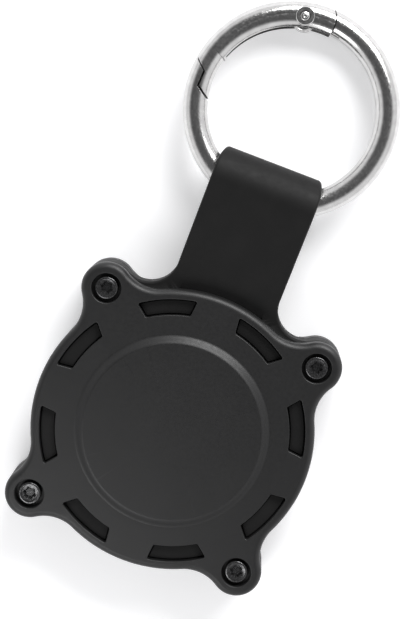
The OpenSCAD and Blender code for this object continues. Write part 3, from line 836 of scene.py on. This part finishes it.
print("fold opens from", round(loop_r, 2), "to", round(flare_r, 2), "mm at its sides")

# %% [markdown]
# The strap and the frame between the covers are one soft moulding, and so are the pads that show
# dark in the windows. The frame is a closed stack of rings, the pads are window outlines drawn in
# by the moulding gap, and booleans fuse all of it into one body.

# %% Soft moulding
FRAME_ROUND = 0.45
WINDOW_DEPTH = 0.9
PAD_GAP = 0.12
PAD_ROUND = 0.12

soft = skin("soft_moulding", [
    ring_at(REAR_Z, r=POCKET_R),
    *rounded_side(REAR_Z, FRONT_Z, FRAME_ROUND, FRAME_ROUND, 6),
    ring_at(FRONT_Z, r=POCKET_R),
], loop=True)
low, high = WINDOW_DEPTH, FLANGE_Z - WINDOW_DEPTH
pad_levels = [(-PAD_GAP - PAD_ROUND, low), (-PAD_GAP, low + PAD_ROUND),
              (-PAD_GAP, high - PAD_ROUND), (-PAD_GAP - PAD_ROUND, high)]
pads = joined("pads", [window_stack("pad", bearing, pad_levels) for bearing in WINDOW_BEARINGS])
fuse(soft, pads, ribbon, feet)
shank_hole = [(SHANK_HOLE_R, REAR_Z - OVERRUN), (SHANK_HOLE_R, FRONT_Z + OVERRUN)]
cut(soft, spindle("inner", [(POCKET_R, 0), (POCKET_R, FACE_Z)], sides=360),
    screw_hole_cutters("shank_holes", shank_hole), joined("flares", [flare(1), flare(-1)]))
place(smooth(soft, angle=40), "case", strap_rubber, "strap")

# %% [markdown]
# A screw is turned: a flat pan head with a rounded rim, and a plain shank, because the thread is
# hidden in the case. Its six-lobed socket follows a simple wave round the circle, where a real
# one is made of arcs, and at this size nobody can tell. A shallow cone at the socket's mouth
# catches the light in small glints.

# %% Screws
HEAD_R = 1.75
HEAD_ROUND = 0.3
HEAD_ROUND_STEPS = 6
RIM_IN, DISH_IN = 0.1, 0.16  # the flat rim ends and the dish starts so far inside the rounding
DISH_DEPTH = 0.03
SHANK_R = 1.0
TIP_CHAMFER = 0.2
SCREW_L = 7.0
SOCKET_R = 0.765
SOCKET_WAVE = 0.115
SOCKET_DEPTH = 0.75
SOCKET_SIDES = 96
SOCKET_TAPER, SOCKET_TAPER_H = 0.1, 0.12
CONE_DEPTH, CONE_OVER, CONE_SPREAD = 0.22, 0.1, 0.27
LOBES = 6


def socket_ring(middle, z, grow):
    turns = [360 * k / SOCKET_SIDES for k in range(SOCKET_SIDES)]
    waves = [cos(LOBES * 2 * pi * k / SOCKET_SIDES) for k in range(SOCKET_SIDES)]
    return [Vector((*(middle + polar(SOCKET_R + grow + SOCKET_WAVE * wave, a)), z))
            for wave, a in zip(waves, turns)]


def screw(i, middle):
    top, tip = SEAT_Z + HEAD_H, SEAT_Z - SCREW_L
    rim = [(HEAD_R - inset, top - drop) for drop, inset in rounding(HEAD_ROUND, HEAD_ROUND_STEPS)]
    profile = [(SHANK_R - TIP_CHAMFER, tip), (SHANK_R, tip + TIP_CHAMFER), (SHANK_R, SEAT_Z),
               (HEAD_R, SEAT_Z), *rim, (HEAD_R - HEAD_ROUND - RIM_IN, top),
               (HEAD_R - HEAD_ROUND - DISH_IN, top - DISH_DEPTH)]
    body = spindle(f"pan_screw_{i}", profile, middle, SCREW_SIDES)
    bottom = top - SOCKET_DEPTH
    levels = [(bottom, -SOCKET_TAPER), (bottom + SOCKET_TAPER_H, 0), (top - CONE_DEPTH, 0),
              (top + CONE_OVER, CONE_SPREAD)]
    cut(body, skin("socket", [socket_ring(middle, z, grow) for z, grow in levels]))
    place(smooth(body), "front", screw_black, f"cover_screw_{i}")


for i, middle in enumerate(screw_places(), start=1):
    screw(i, middle)

# %% [markdown]
# The ring lies in a plane of its own, which the frame's mount gives: its centre and its axis. All
# the ring's parts are drawn flat in that plane, round its centre, and one matrix carries them
# into place.

# %% Ring's plane and sizes
ring_tilt = atan2(EYE["axis"][1], EYE["axis"][2])
RING_PLACE = Matrix.Translation(ring_centre * MM) @ Matrix.Rotation(-ring_tilt, 4, "X")
hinge_world = Vector(JOINTS["gate_open"]["pos_m"])
HINGE = (RING_PLACE.inverted() @ hinge_world / MM).to_2d()
HINGE_ANGLE = degrees(atan2(HINGE.y, HINGE.x))
HINGE_R = HINGE.length


def arc_turn(length):
    """The angle round the ring that a length along the middle of its wire takes."""
    return degrees(length / RING_R)


GATE_SPAN = 68  # degrees from the hinge to the latch
TAIL_L = 4.6  # from the hinge back to the tail's seam
NOSE_L = 4.0  # from the shoulder on to the nose's end
SEAM_GAP = 0.16  # at the shoulder and at the tail
NOSE_GAP = 0.3  # round the nose
CHANNEL_W = 2.0
CHANNEL_ROOF = 0.95  # wall outside the channel
CHANNEL_WALL = 2.2  # wall between the channel and the shoulder
LATCH_ANGLE = HINGE_ANGLE + GATE_SPAN
TAIL_ANGLE = HINGE_ANGLE - arc_turn(TAIL_L)
CHANNEL_END = LATCH_ANGLE - arc_turn(CHANNEL_WALL)
TONGUE_ROOT = TAIL_ANGLE - arc_turn(WIRE_R)
channel_r = RING_R + WIRE_R - CHANNEL_ROOF
print("ring radius", round(RING_R, 3), "mm, hinge at", round(HINGE_ANGLE, 2), "degrees")

# %% [markdown]
# The gate's latch is a Z: a shoulder that meets the end of the hook, and a nose that tucks under
# it. Shoulder, nose and the tail behind the hinge all end in arcs about the hinge, because the
# gate has to swing without rubbing. The same lines, moved by the gaps of the seams, shape the
# ring's body.

# %% Latch line
NOSE_START_IN, NOSE_END_IN = 0.3, 0.15  # how far inside the wire's middle the nose's back runs
ARC_STEPS = 10

shoulder_r = (polar(RING_R + WIRE_R, LATCH_ANGLE) - HINGE).length
nose_start = polar(RING_R - NOSE_START_IN, LATCH_ANGLE + arc_turn(WIRE_R) / 2)
nose_end = polar(RING_R - NOSE_END_IN, LATCH_ANGLE + arc_turn(NOSE_L))
nose_r = (nose_end - HINGE).length
nose_way = (nose_end - nose_start).normalized()
nose_in = Vector((-nose_way.y, nose_way.x))


def meets(start, way, r):
    """Where a line meets the circle of radius r about the hinge, on the far side."""
    from_hinge = start - HINGE
    b = from_hinge.dot(way)
    return start + way * (-b + sqrt(b * b - from_hinge.length_squared + r * r))


def bearing_from_hinge(p):
    return degrees(atan2(p.y - HINGE.y, p.x - HINGE.x)) % 360


def latch_line(gap, nose_gap):
    """From outside the ring in: the shoulder's arc, the nose's back and the nose's end."""
    start = nose_start - nose_gap * nose_in
    corner = meets(start, nose_way, shoulder_r + gap)
    tip = meets(start, nose_way, nose_r + nose_gap)
    outside = bearing_from_hinge(polar(RING_R + 2 * WIRE_R, LATCH_ANGLE))
    inside = bearing_from_hinge(polar(RING_R - 2 * WIRE_R, LATCH_ANGLE + arc_turn(NOSE_L)))
    shoulder = arc(HINGE, shoulder_r + gap, outside, bearing_from_hinge(corner), ARC_STEPS)
    end = arc(HINGE, nose_r + nose_gap, bearing_from_hinge(tip), inside, ARC_STEPS)
    return shoulder + [corner] + end


print("nose ends", round(nose_r, 2), "mm from the hinge")

# %% [markdown]
# One closed outline takes the whole gate out of the wire: the latch line, a way back inside the
# ring, the tail's arc round the hinge, and a way forward outside the ring. The two ways touch
# nothing, so a few points do for them. With gaps the block makes room in the ring, and without
# gaps it leaves the gate of a second piece of wire, so the two always fit.

# %% Gate block
OUTLINE_STEP = 10  # degrees from point to point where the outline runs clear of the wire
OUTLINE_BACK = 4  # degrees that the way inside the ring starts short of the nose
INNER_POINTS, OUTER_POINTS = 9, 8
TAIL_HALF_TURN = 60
TAIL_STEPS = 24


def gate_block(name, gap=0, nose_gap=0):
    back = LATCH_ANGLE + arc_turn(NOSE_L) - OUTLINE_BACK
    inner = [polar(RING_R - 2 * WIRE_R, back - k * OUTLINE_STEP) for k in range(INNER_POINTS)]
    way = HINGE_ANGLE - 90
    tail = arc(HINGE, TAIL_L + gap, way - TAIL_HALF_TURN, way + TAIL_HALF_TURN, TAIL_STEPS)
    ahead = HINGE_ANGLE - OUTLINE_STEP / 2
    outer = [polar(RING_R + 3 * WIRE_R, ahead + k * OUTLINE_STEP) for k in range(OUTER_POINTS)]
    outline = latch_line(gap, nose_gap) + inner + tail + outer
    return prism(name, outline, -2 * WIRE_R, 2 * WIRE_R)


print("block reaches", 2 * WIRE_R, "mm to either side of the ring's plane")

# %% [markdown]
# The ring and its gate are two stretches of one round wire. A torus would give the whole ring at
# once, but each stretch needs its own start and end, so a circle is swept along an arc, with
# enough sides that no facet shows in a reflection. A bevel on the seams stands for the tumbled
# edges of the real parts.

# %% Wire and seams
WIRE_SIDES = 72
WIRE_STEP = 1.6  # degrees round the ring from section to section
HOOK_BEVEL = 0.11
GATE_BEVEL = 0.2
BEVEL_ANGLE = 42


def wire(name, start, end, middle=(0, 0), r=WIRE_R):
    steps = round((end - start) / WIRE_STEP)
    rings = []
    for s in range(steps + 1):
        a = start + (end - start) * s / steps
        rings.append([
            Vector((*(Vector(middle) + polar(RING_R + r * cos(2 * pi * k / WIRE_SIDES), a)),
                    r * sin(2 * pi * k / WIRE_SIDES)))
            for k in range(WIRE_SIDES)
        ])
    return skin(name, rings)


def flat_cylinder(name, middle, r, half_h):
    return spindle(name, [(r, -half_h), (r, half_h)], middle)


def bevel_seams(piece, width):
    apply_modifier(piece, "BEVEL", width=width * MM, segments=2, limit_method="ANGLE",
                   angle_limit=radians(BEVEL_ANGLE), use_clamp_overlap=True, harden_normals=False)


def into_ring_plane(piece):
    piece.data.transform(RING_PLACE)
    return piece


print("wire of", WIRE_SIDES, "sides")

# %% [markdown]
# The ring's body is the wire from the hook round to the tail's seam. A low ledge inside the
# hook's seam stops the gate, and no light falls through the seam past it. The ledge is the strip
# between two latch lines, one near the gate and one inside the hook, trimmed by a thinner wire so
# that it ends below the ring's surface.

# %% Ring wire and ledge
LEDGE_GAP = 0.05  # between the ledge and the gate
LEDGE_ROOT = 0.15  # how far the ledge reaches into the hook
LEDGE_HALF_T = 1.0
LEDGE_WIRE_R = 1.6

ring = wire("ring_wire", LATCH_ANGLE - arc_turn(WIRE_R), 360 + TAIL_ANGLE + arc_turn(WIRE_R))
cut(ring, gate_block("gate_space", SEAM_GAP, NOSE_GAP))
bevel_seams(ring, HOOK_BEVEL)
ledge_line = latch_line(LEDGE_GAP, LEDGE_GAP)
ledge_line += reversed(latch_line(SEAM_GAP + LEDGE_ROOT, NOSE_GAP + LEDGE_ROOT))
ledge = prism("ledge", ledge_line[::-1], -LEDGE_HALF_T, LEDGE_HALF_T)
trim(ledge, wire("ledge_wire", LATCH_ANGLE - arc_turn(WIRE_R), LATCH_ANGLE + 2 * arc_turn(NOSE_L),
                 r=LEDGE_WIRE_R))
fuse(ring, ledge)
print("ring has", len(ring.data.polygons), "faces so far")

# %% [markdown]
# At the tail a flat tongue carries on into the gate and holds the hinge's rivet. Under its eye
# sits a cam that the spring's plunger presses on, and its round back shows between the gate's
# cheeks. Tongue, eye and cam are three plain forms fused into one, as a stamped and filed blank
# would be.

# %% Tongue, cam and ring body
EYE_R = 1.3  # of the tongue's eye, and half the tongue's width
CAM_R = 1.7
CAM_OFFSET = 0.55  # from the hinge towards the ring's centre
CAM_ROUND = 0.6
CAM_STEPS = 8
RIVET_R = 0.8
RIVET_GAP = 0.05
TONGUE_GAP = 0.1
TONGUE_STEPS = 16
TONGUE_HALF_T = CHANNEL_W / 2 - TONGUE_GAP


def ring_arc(r, start, end, steps):
    return arc((0, 0), r, start, end, steps) + [polar(r, end)]


tongue_line = ring_arc(HINGE_R + EYE_R, HINGE_ANGLE, TONGUE_ROOT, TONGUE_STEPS)
tongue_line += ring_arc(HINGE_R - EYE_R, TONGUE_ROOT, HINGE_ANGLE, TONGUE_STEPS)
tongue = prism("tongue", tongue_line, -TONGUE_HALF_T, TONGUE_HALF_T)
cam_edge = [(CAM_R - inset, TONGUE_HALF_T - drop) for inset, drop in rounding(CAM_ROUND, CAM_STEPS)]
cam_profile = [(r, -z) for r, z in cam_edge] + cam_edge[::-1]
fuse(tongue, flat_cylinder("eye", HINGE, EYE_R, TONGUE_HALF_T),
     spindle("cam", cam_profile, HINGE - polar(CAM_OFFSET, HINGE_ANGLE)))
fuse(ring, tongue)
cut(ring, flat_cylinder("rivet_hole", HINGE, RIVET_R + RIVET_GAP, WIRE_R))
place(into_ring_plane(smooth(ring)), "ring", ring_nickel, "ring_body")

# %% [markdown]
# The gate is the stretch of wire that the latch line cuts out. It is hollowed from inside into a
# channel for the spring. Its two cheeks stand a little into the ring at the hinge, as if the wire
# had been pressed inwards there, and a low round boss on each side seats the rivet.

# %% Gate
CHEEK_DROP = 0.5  # how far the cheeks are shifted towards the ring's centre
BOSS_R = 1.42
BOSS_RISE = 0.05
BOSS_EDGE = 0.1
RIVET_BITE = 0.01
CHANNEL_RUN_OUT = 2  # degrees that the channel runs on past the tail
CHANNEL_STEPS, MOUTH_STEPS = 60, 12
boss_half_h = WIRE_R + BOSS_RISE

gate = wire("gate_wire", TONGUE_ROOT, LATCH_ANGLE + 2 * arc_turn(NOSE_L))
trim(gate, gate_block("gate_shape"))
bevel_seams(gate, GATE_BEVEL)
cheeks = wire("cheeks", TONGUE_ROOT, CHANNEL_END, -polar(CHEEK_DROP, HINGE_ANGLE))
fuse(gate, trim(cheeks, gate_block("cheek_shape")))
fuse(gate, spindle("boss", [
    (BOSS_R - BOSS_EDGE, -boss_half_h), (BOSS_R, BOSS_EDGE - boss_half_h),
    (BOSS_R, boss_half_h - BOSS_EDGE), (BOSS_R - BOSS_EDGE, boss_half_h),
], HINGE))
channel = ring_arc(channel_r, TONGUE_ROOT - CHANNEL_RUN_OUT, CHANNEL_END, CHANNEL_STEPS)
channel += [polar(RING_R - 2 * WIRE_R, CHANNEL_END - k * (CHANNEL_END - TONGUE_ROOT) / MOUTH_STEPS)
            for k in range(MOUTH_STEPS + 1)]
cut(gate, prism("channel", channel, -CHANNEL_W / 2, CHANNEL_W / 2),
    flat_cylinder("rivet_hole", HINGE, RIVET_R - RIVET_BITE, 2 * WIRE_R))
place(into_ring_plane(smooth(gate)), "gate", ring_nickel, "gate")

# %% [markdown]
# The rivet runs through both cheeks and the tongue. Its ends are spread with a punch, which
# leaves a rounded rim and a small dimple. Sculpting such an end would be slow, and a lathe needs
# only one profile for both.

# %% Hinge rivet
DIMPLE_R = 0.32
DIMPLE_DEPTH = 0.2
# radius and height over the boss, from the dimple's bottom out over the rim and down its round
end_profile = [(AXIS_R, -DIMPLE_DEPTH), (DIMPLE_R * 0.6, -DIMPLE_DEPTH * 0.8), (DIMPLE_R, -0.03),
               (DIMPLE_R + 0.05, 0), (DIMPLE_R + 0.14, -0.01), (RIVET_R - 0.2, -0.06),
               (RIVET_R - 0.09, -0.13), (RIVET_R, -0.24)]
rivet_profile = [(r, -boss_half_h - z) for r, z in end_profile]
rivet_profile += [(r, boss_half_h + z) for r, z in reversed(end_profile)]
rivet = lathe("punched_rivet", rivet_profile, HINGE)
place(into_ring_plane(smooth(rivet)), "gate", rivet_steel, "hinge_rivet")

# %% [markdown]
# The spring is one unbroken coil that follows the channel's arc. The screw modifier only winds
# straight coils, so the wire is swept along a helix bent round the ring's centre: the angle round
# the ring grows slowly while the coil turns. Its first turn stands back by the plunger's travel,
# so the opened gate doesn't push the plunger through it.

# %% Gate spring
SPRING_D = 1.7
SPRING_WIRE_D = 0.3
SPRING_WIRE_SIDES = 12
SPRING_CURLS = 12
SPRING_STEPS = SPRING_CURLS * 24
SPRING_DROP = 0.3  # how far the coil lies inside the wire's middle
SPRING_R = RING_R - SPRING_DROP
COIL_R = (SPRING_D - SPRING_WIRE_D) / 2
PLUNGER_TURN = 10.0  # it slides square to the radius so many degrees past the hinge
PLUNGER_HEAD_H = 0.9
PLUNGER_TRAVEL = 0.25
PLUNGER_GAP = 0.08  # in front of the plunger, to the cam, and behind it, to the spring
cam_y = (CAM_OFFSET - HINGE_R) * sin(radians(PLUNGER_TURN))
plunger_back = PLUNGER_GAP + CAM_R + cam_y + PLUNGER_HEAD_H
spring_first = HINGE_ANGLE + PLUNGER_TURN + degrees(asin(plunger_back / SPRING_R))
spring_first += arc_turn(SPRING_WIRE_D / 2 + PLUNGER_TRAVEL + PLUNGER_GAP)
spring_last = CHANNEL_END - arc_turn(SPRING_WIRE_D)


def spring_point(t):
    a = spring_first + (spring_last - spring_first) * t
    turn_angle = 2 * pi * SPRING_CURLS * t
    r = SPRING_R + COIL_R * cos(turn_angle)
    return Vector((*polar(r, a), COIL_R * sin(turn_angle)))


def tube(name, path, r, sides):
    rings = []
    for i, point in enumerate(path):
        way = (path[min(i + 1, len(path) - 1)] - path[max(i - 1, 0)]).normalized()
        side = way.cross(Vector((-point.y, point.x, 0)).normalized()).normalized()
        up = side.cross(way)
        rings.append([point + r * (cos(2 * pi * k / sides) * side + sin(2 * pi * k / sides) * up)
                      for k in range(sides)])
    return skin(name, rings)


spring = tube("coil_spring", [spring_point(s / SPRING_STEPS) for s in range(SPRING_STEPS + 1)],
              SPRING_WIRE_D / 2, SPRING_WIRE_SIDES)
smooth(spring, angle=60)
place(into_ring_plane(spring), "gate", spring_steel, "gate_spring")

# %% [markdown]
# The plunger and the brass inserts are plain turned parts whose solids are right as they are.
# They stay as they come from the frame and only take a finish.

# %% Turned parts that stay
def dress(node, material):
    target = frame["nodes"][node]
    target.data.materials.clear()
    target.data.materials.append(material)


dress("spring_plunger", spring_steel)
for i in range(1, EAR_COUNT + 1):
    dress(f"threaded_insert_{i}", insert_brass)
print("dressed", 1 + EAR_COUNT, "turned parts")

# %% [markdown]
# A wide white floor gives a pale ground that keeps the object's shadow. It lies a hair below the
# lowest point of the part, so that no two faces fall into one plane. The floor's own colour is
# pale, and to the camera it glows a little on top, so that it ends white where no shadow falls.
# Reflections see it the same way, which gives the metal its bright rims.

# %% Floor
FLOOR_SIZE = 3000.0
FLOOR_GAP = 0.01
FLOOR_GLOW = 0.28


def camera_boost(material, shader, strength):
    """A glow that only the camera and reflections see."""
    nodes, links = material.node_tree.nodes, material.node_tree.links
    path = nodes.new("ShaderNodeLightPath")
    seen = nodes.new("ShaderNodeMath")
    seen.operation = "MAXIMUM"
    level = nodes.new("ShaderNodeMath")
    level.operation = "MULTIPLY"
    level.inputs[1].default_value = strength
    links.new(path.outputs["Is Camera Ray"], seen.inputs[0])
    links.new(path.outputs["Is Glossy Ray"], seen.inputs[1])
    links.new(seen.outputs[0], level.inputs[0])
    links.new(level.outputs[0], shader.inputs["Emission Strength"])
    shader.inputs["Emission Color"].default_value = (1, 1, 1, 1)


half = FLOOR_SIZE / 2
floor_z = cad_bounds[0][2] / MM - FLOOR_GAP
corners = [Vector(p) for p in ((-half, -half), (half, -half), (half, half), (-half, half))]
floor = mesh_piece("floor", at_height(corners, floor_z), [(0, 1, 2, 3)])
floor_white, shader = new_material(
    "floor_white", color=(0.86, 0.86, 0.87), roughness=0.9, specular=0.1)
camera_boost(floor_white, shader, FLOOR_GLOW)
floor.data.materials.append(floor_white)
print("floor laid at", round(floor_z, 3), "mm")

# %% [markdown]
# The light is that of a small product table. The room is white, with a soft dark patch overhead
# where the camera hangs: polished wire shows it as the dark band between its light rims. A
# panorama photograph is the usual way to such a room, but one patch needs only a cone of
# directions with a blurred edge.

# %% World
PATCH_BEARING = 150.0  # degrees from +x, towards the picture's upper left
PATCH_LEAN = 8.0  # degrees off the vertical
PATCH_HALF = 45.0  # degrees from the patch's middle to the middle of its edge
PATCH_EDGE = 15.0  # degrees that the edge blurs to either side
ROOM_WHITE = (0.95, 0.95, 0.96)
PATCH_DARK = (0.11, 0.11, 0.112)
world = bpy.data.worlds.new("room")
scene.world = world
world.use_nodes = True
nodes, links = world.node_tree.nodes, world.node_tree.links
background = nodes["Background"]
coordinates = nodes.new("ShaderNodeTexCoord")
patch_out = polar(sin(radians(PATCH_LEAN)), PATCH_BEARING)
nearness = nodes.new("ShaderNodeVectorMath")
nearness.operation = "DOT_PRODUCT"
nearness.inputs[1].default_value = (*patch_out, cos(radians(PATCH_LEAN)))
patch = nodes.new("ShaderNodeMapRange")
patch.interpolation_type = "SMOOTHSTEP"
patch.inputs["From Min"].default_value = cos(radians(PATCH_HALF + PATCH_EDGE))
patch.inputs["From Max"].default_value = cos(radians(PATCH_HALF - PATCH_EDGE))
mix = nodes.new("ShaderNodeMix")
mix.data_type = "RGBA"
mix.inputs["A"].default_value = (*ROOM_WHITE, 1)
mix.inputs["B"].default_value = (*PATCH_DARK, 1)
links.new(coordinates.outputs["Generated"], nearness.inputs[0])
links.new(nearness.outputs["Value"], patch.inputs["Value"])
links.new(patch.outputs["Result"], mix.inputs["Factor"])
links.new(mix.outputs["Result"], background.inputs["Color"])
background.inputs["Strength"].default_value = 1.0
print("room made")

# %% [markdown]
# A large low lamp beyond the picture's top throws the soft shadow downwards. A small near panel at
# the lower left lays a grey sheen over the face, brightest where it is nearest.

# %% Lamps
def lamp(name, place_mm, target_mm, size_mm, power):
    data = bpy.data.lights.new(name, "AREA")
    data.shape = "RECTANGLE"
    data.size, data.size_y = (s * MM for s in size_mm)
    data.energy = power
    item = bpy.data.objects.new(name, data)
    item.location = Vector(place_mm) * MM
    item.rotation_euler = (Vector(target_mm) - Vector(place_mm)).to_track_quat("-Z", "Y").to_euler()
    scene.collection.objects.link(item)


lamp("key_lamp", (60, 480, 300), (0, 10, 0), size_mm=(380, 260), power=3.6)
lamp("sheen_panel", (-28, -92, 118), (0, 0, 0), size_mm=(80, 80), power=0.075)
print("lamps placed")

# %% [markdown]
# The last cell ends the script and leaves the scene as it stands.

# %% Hand over
print("scene built")
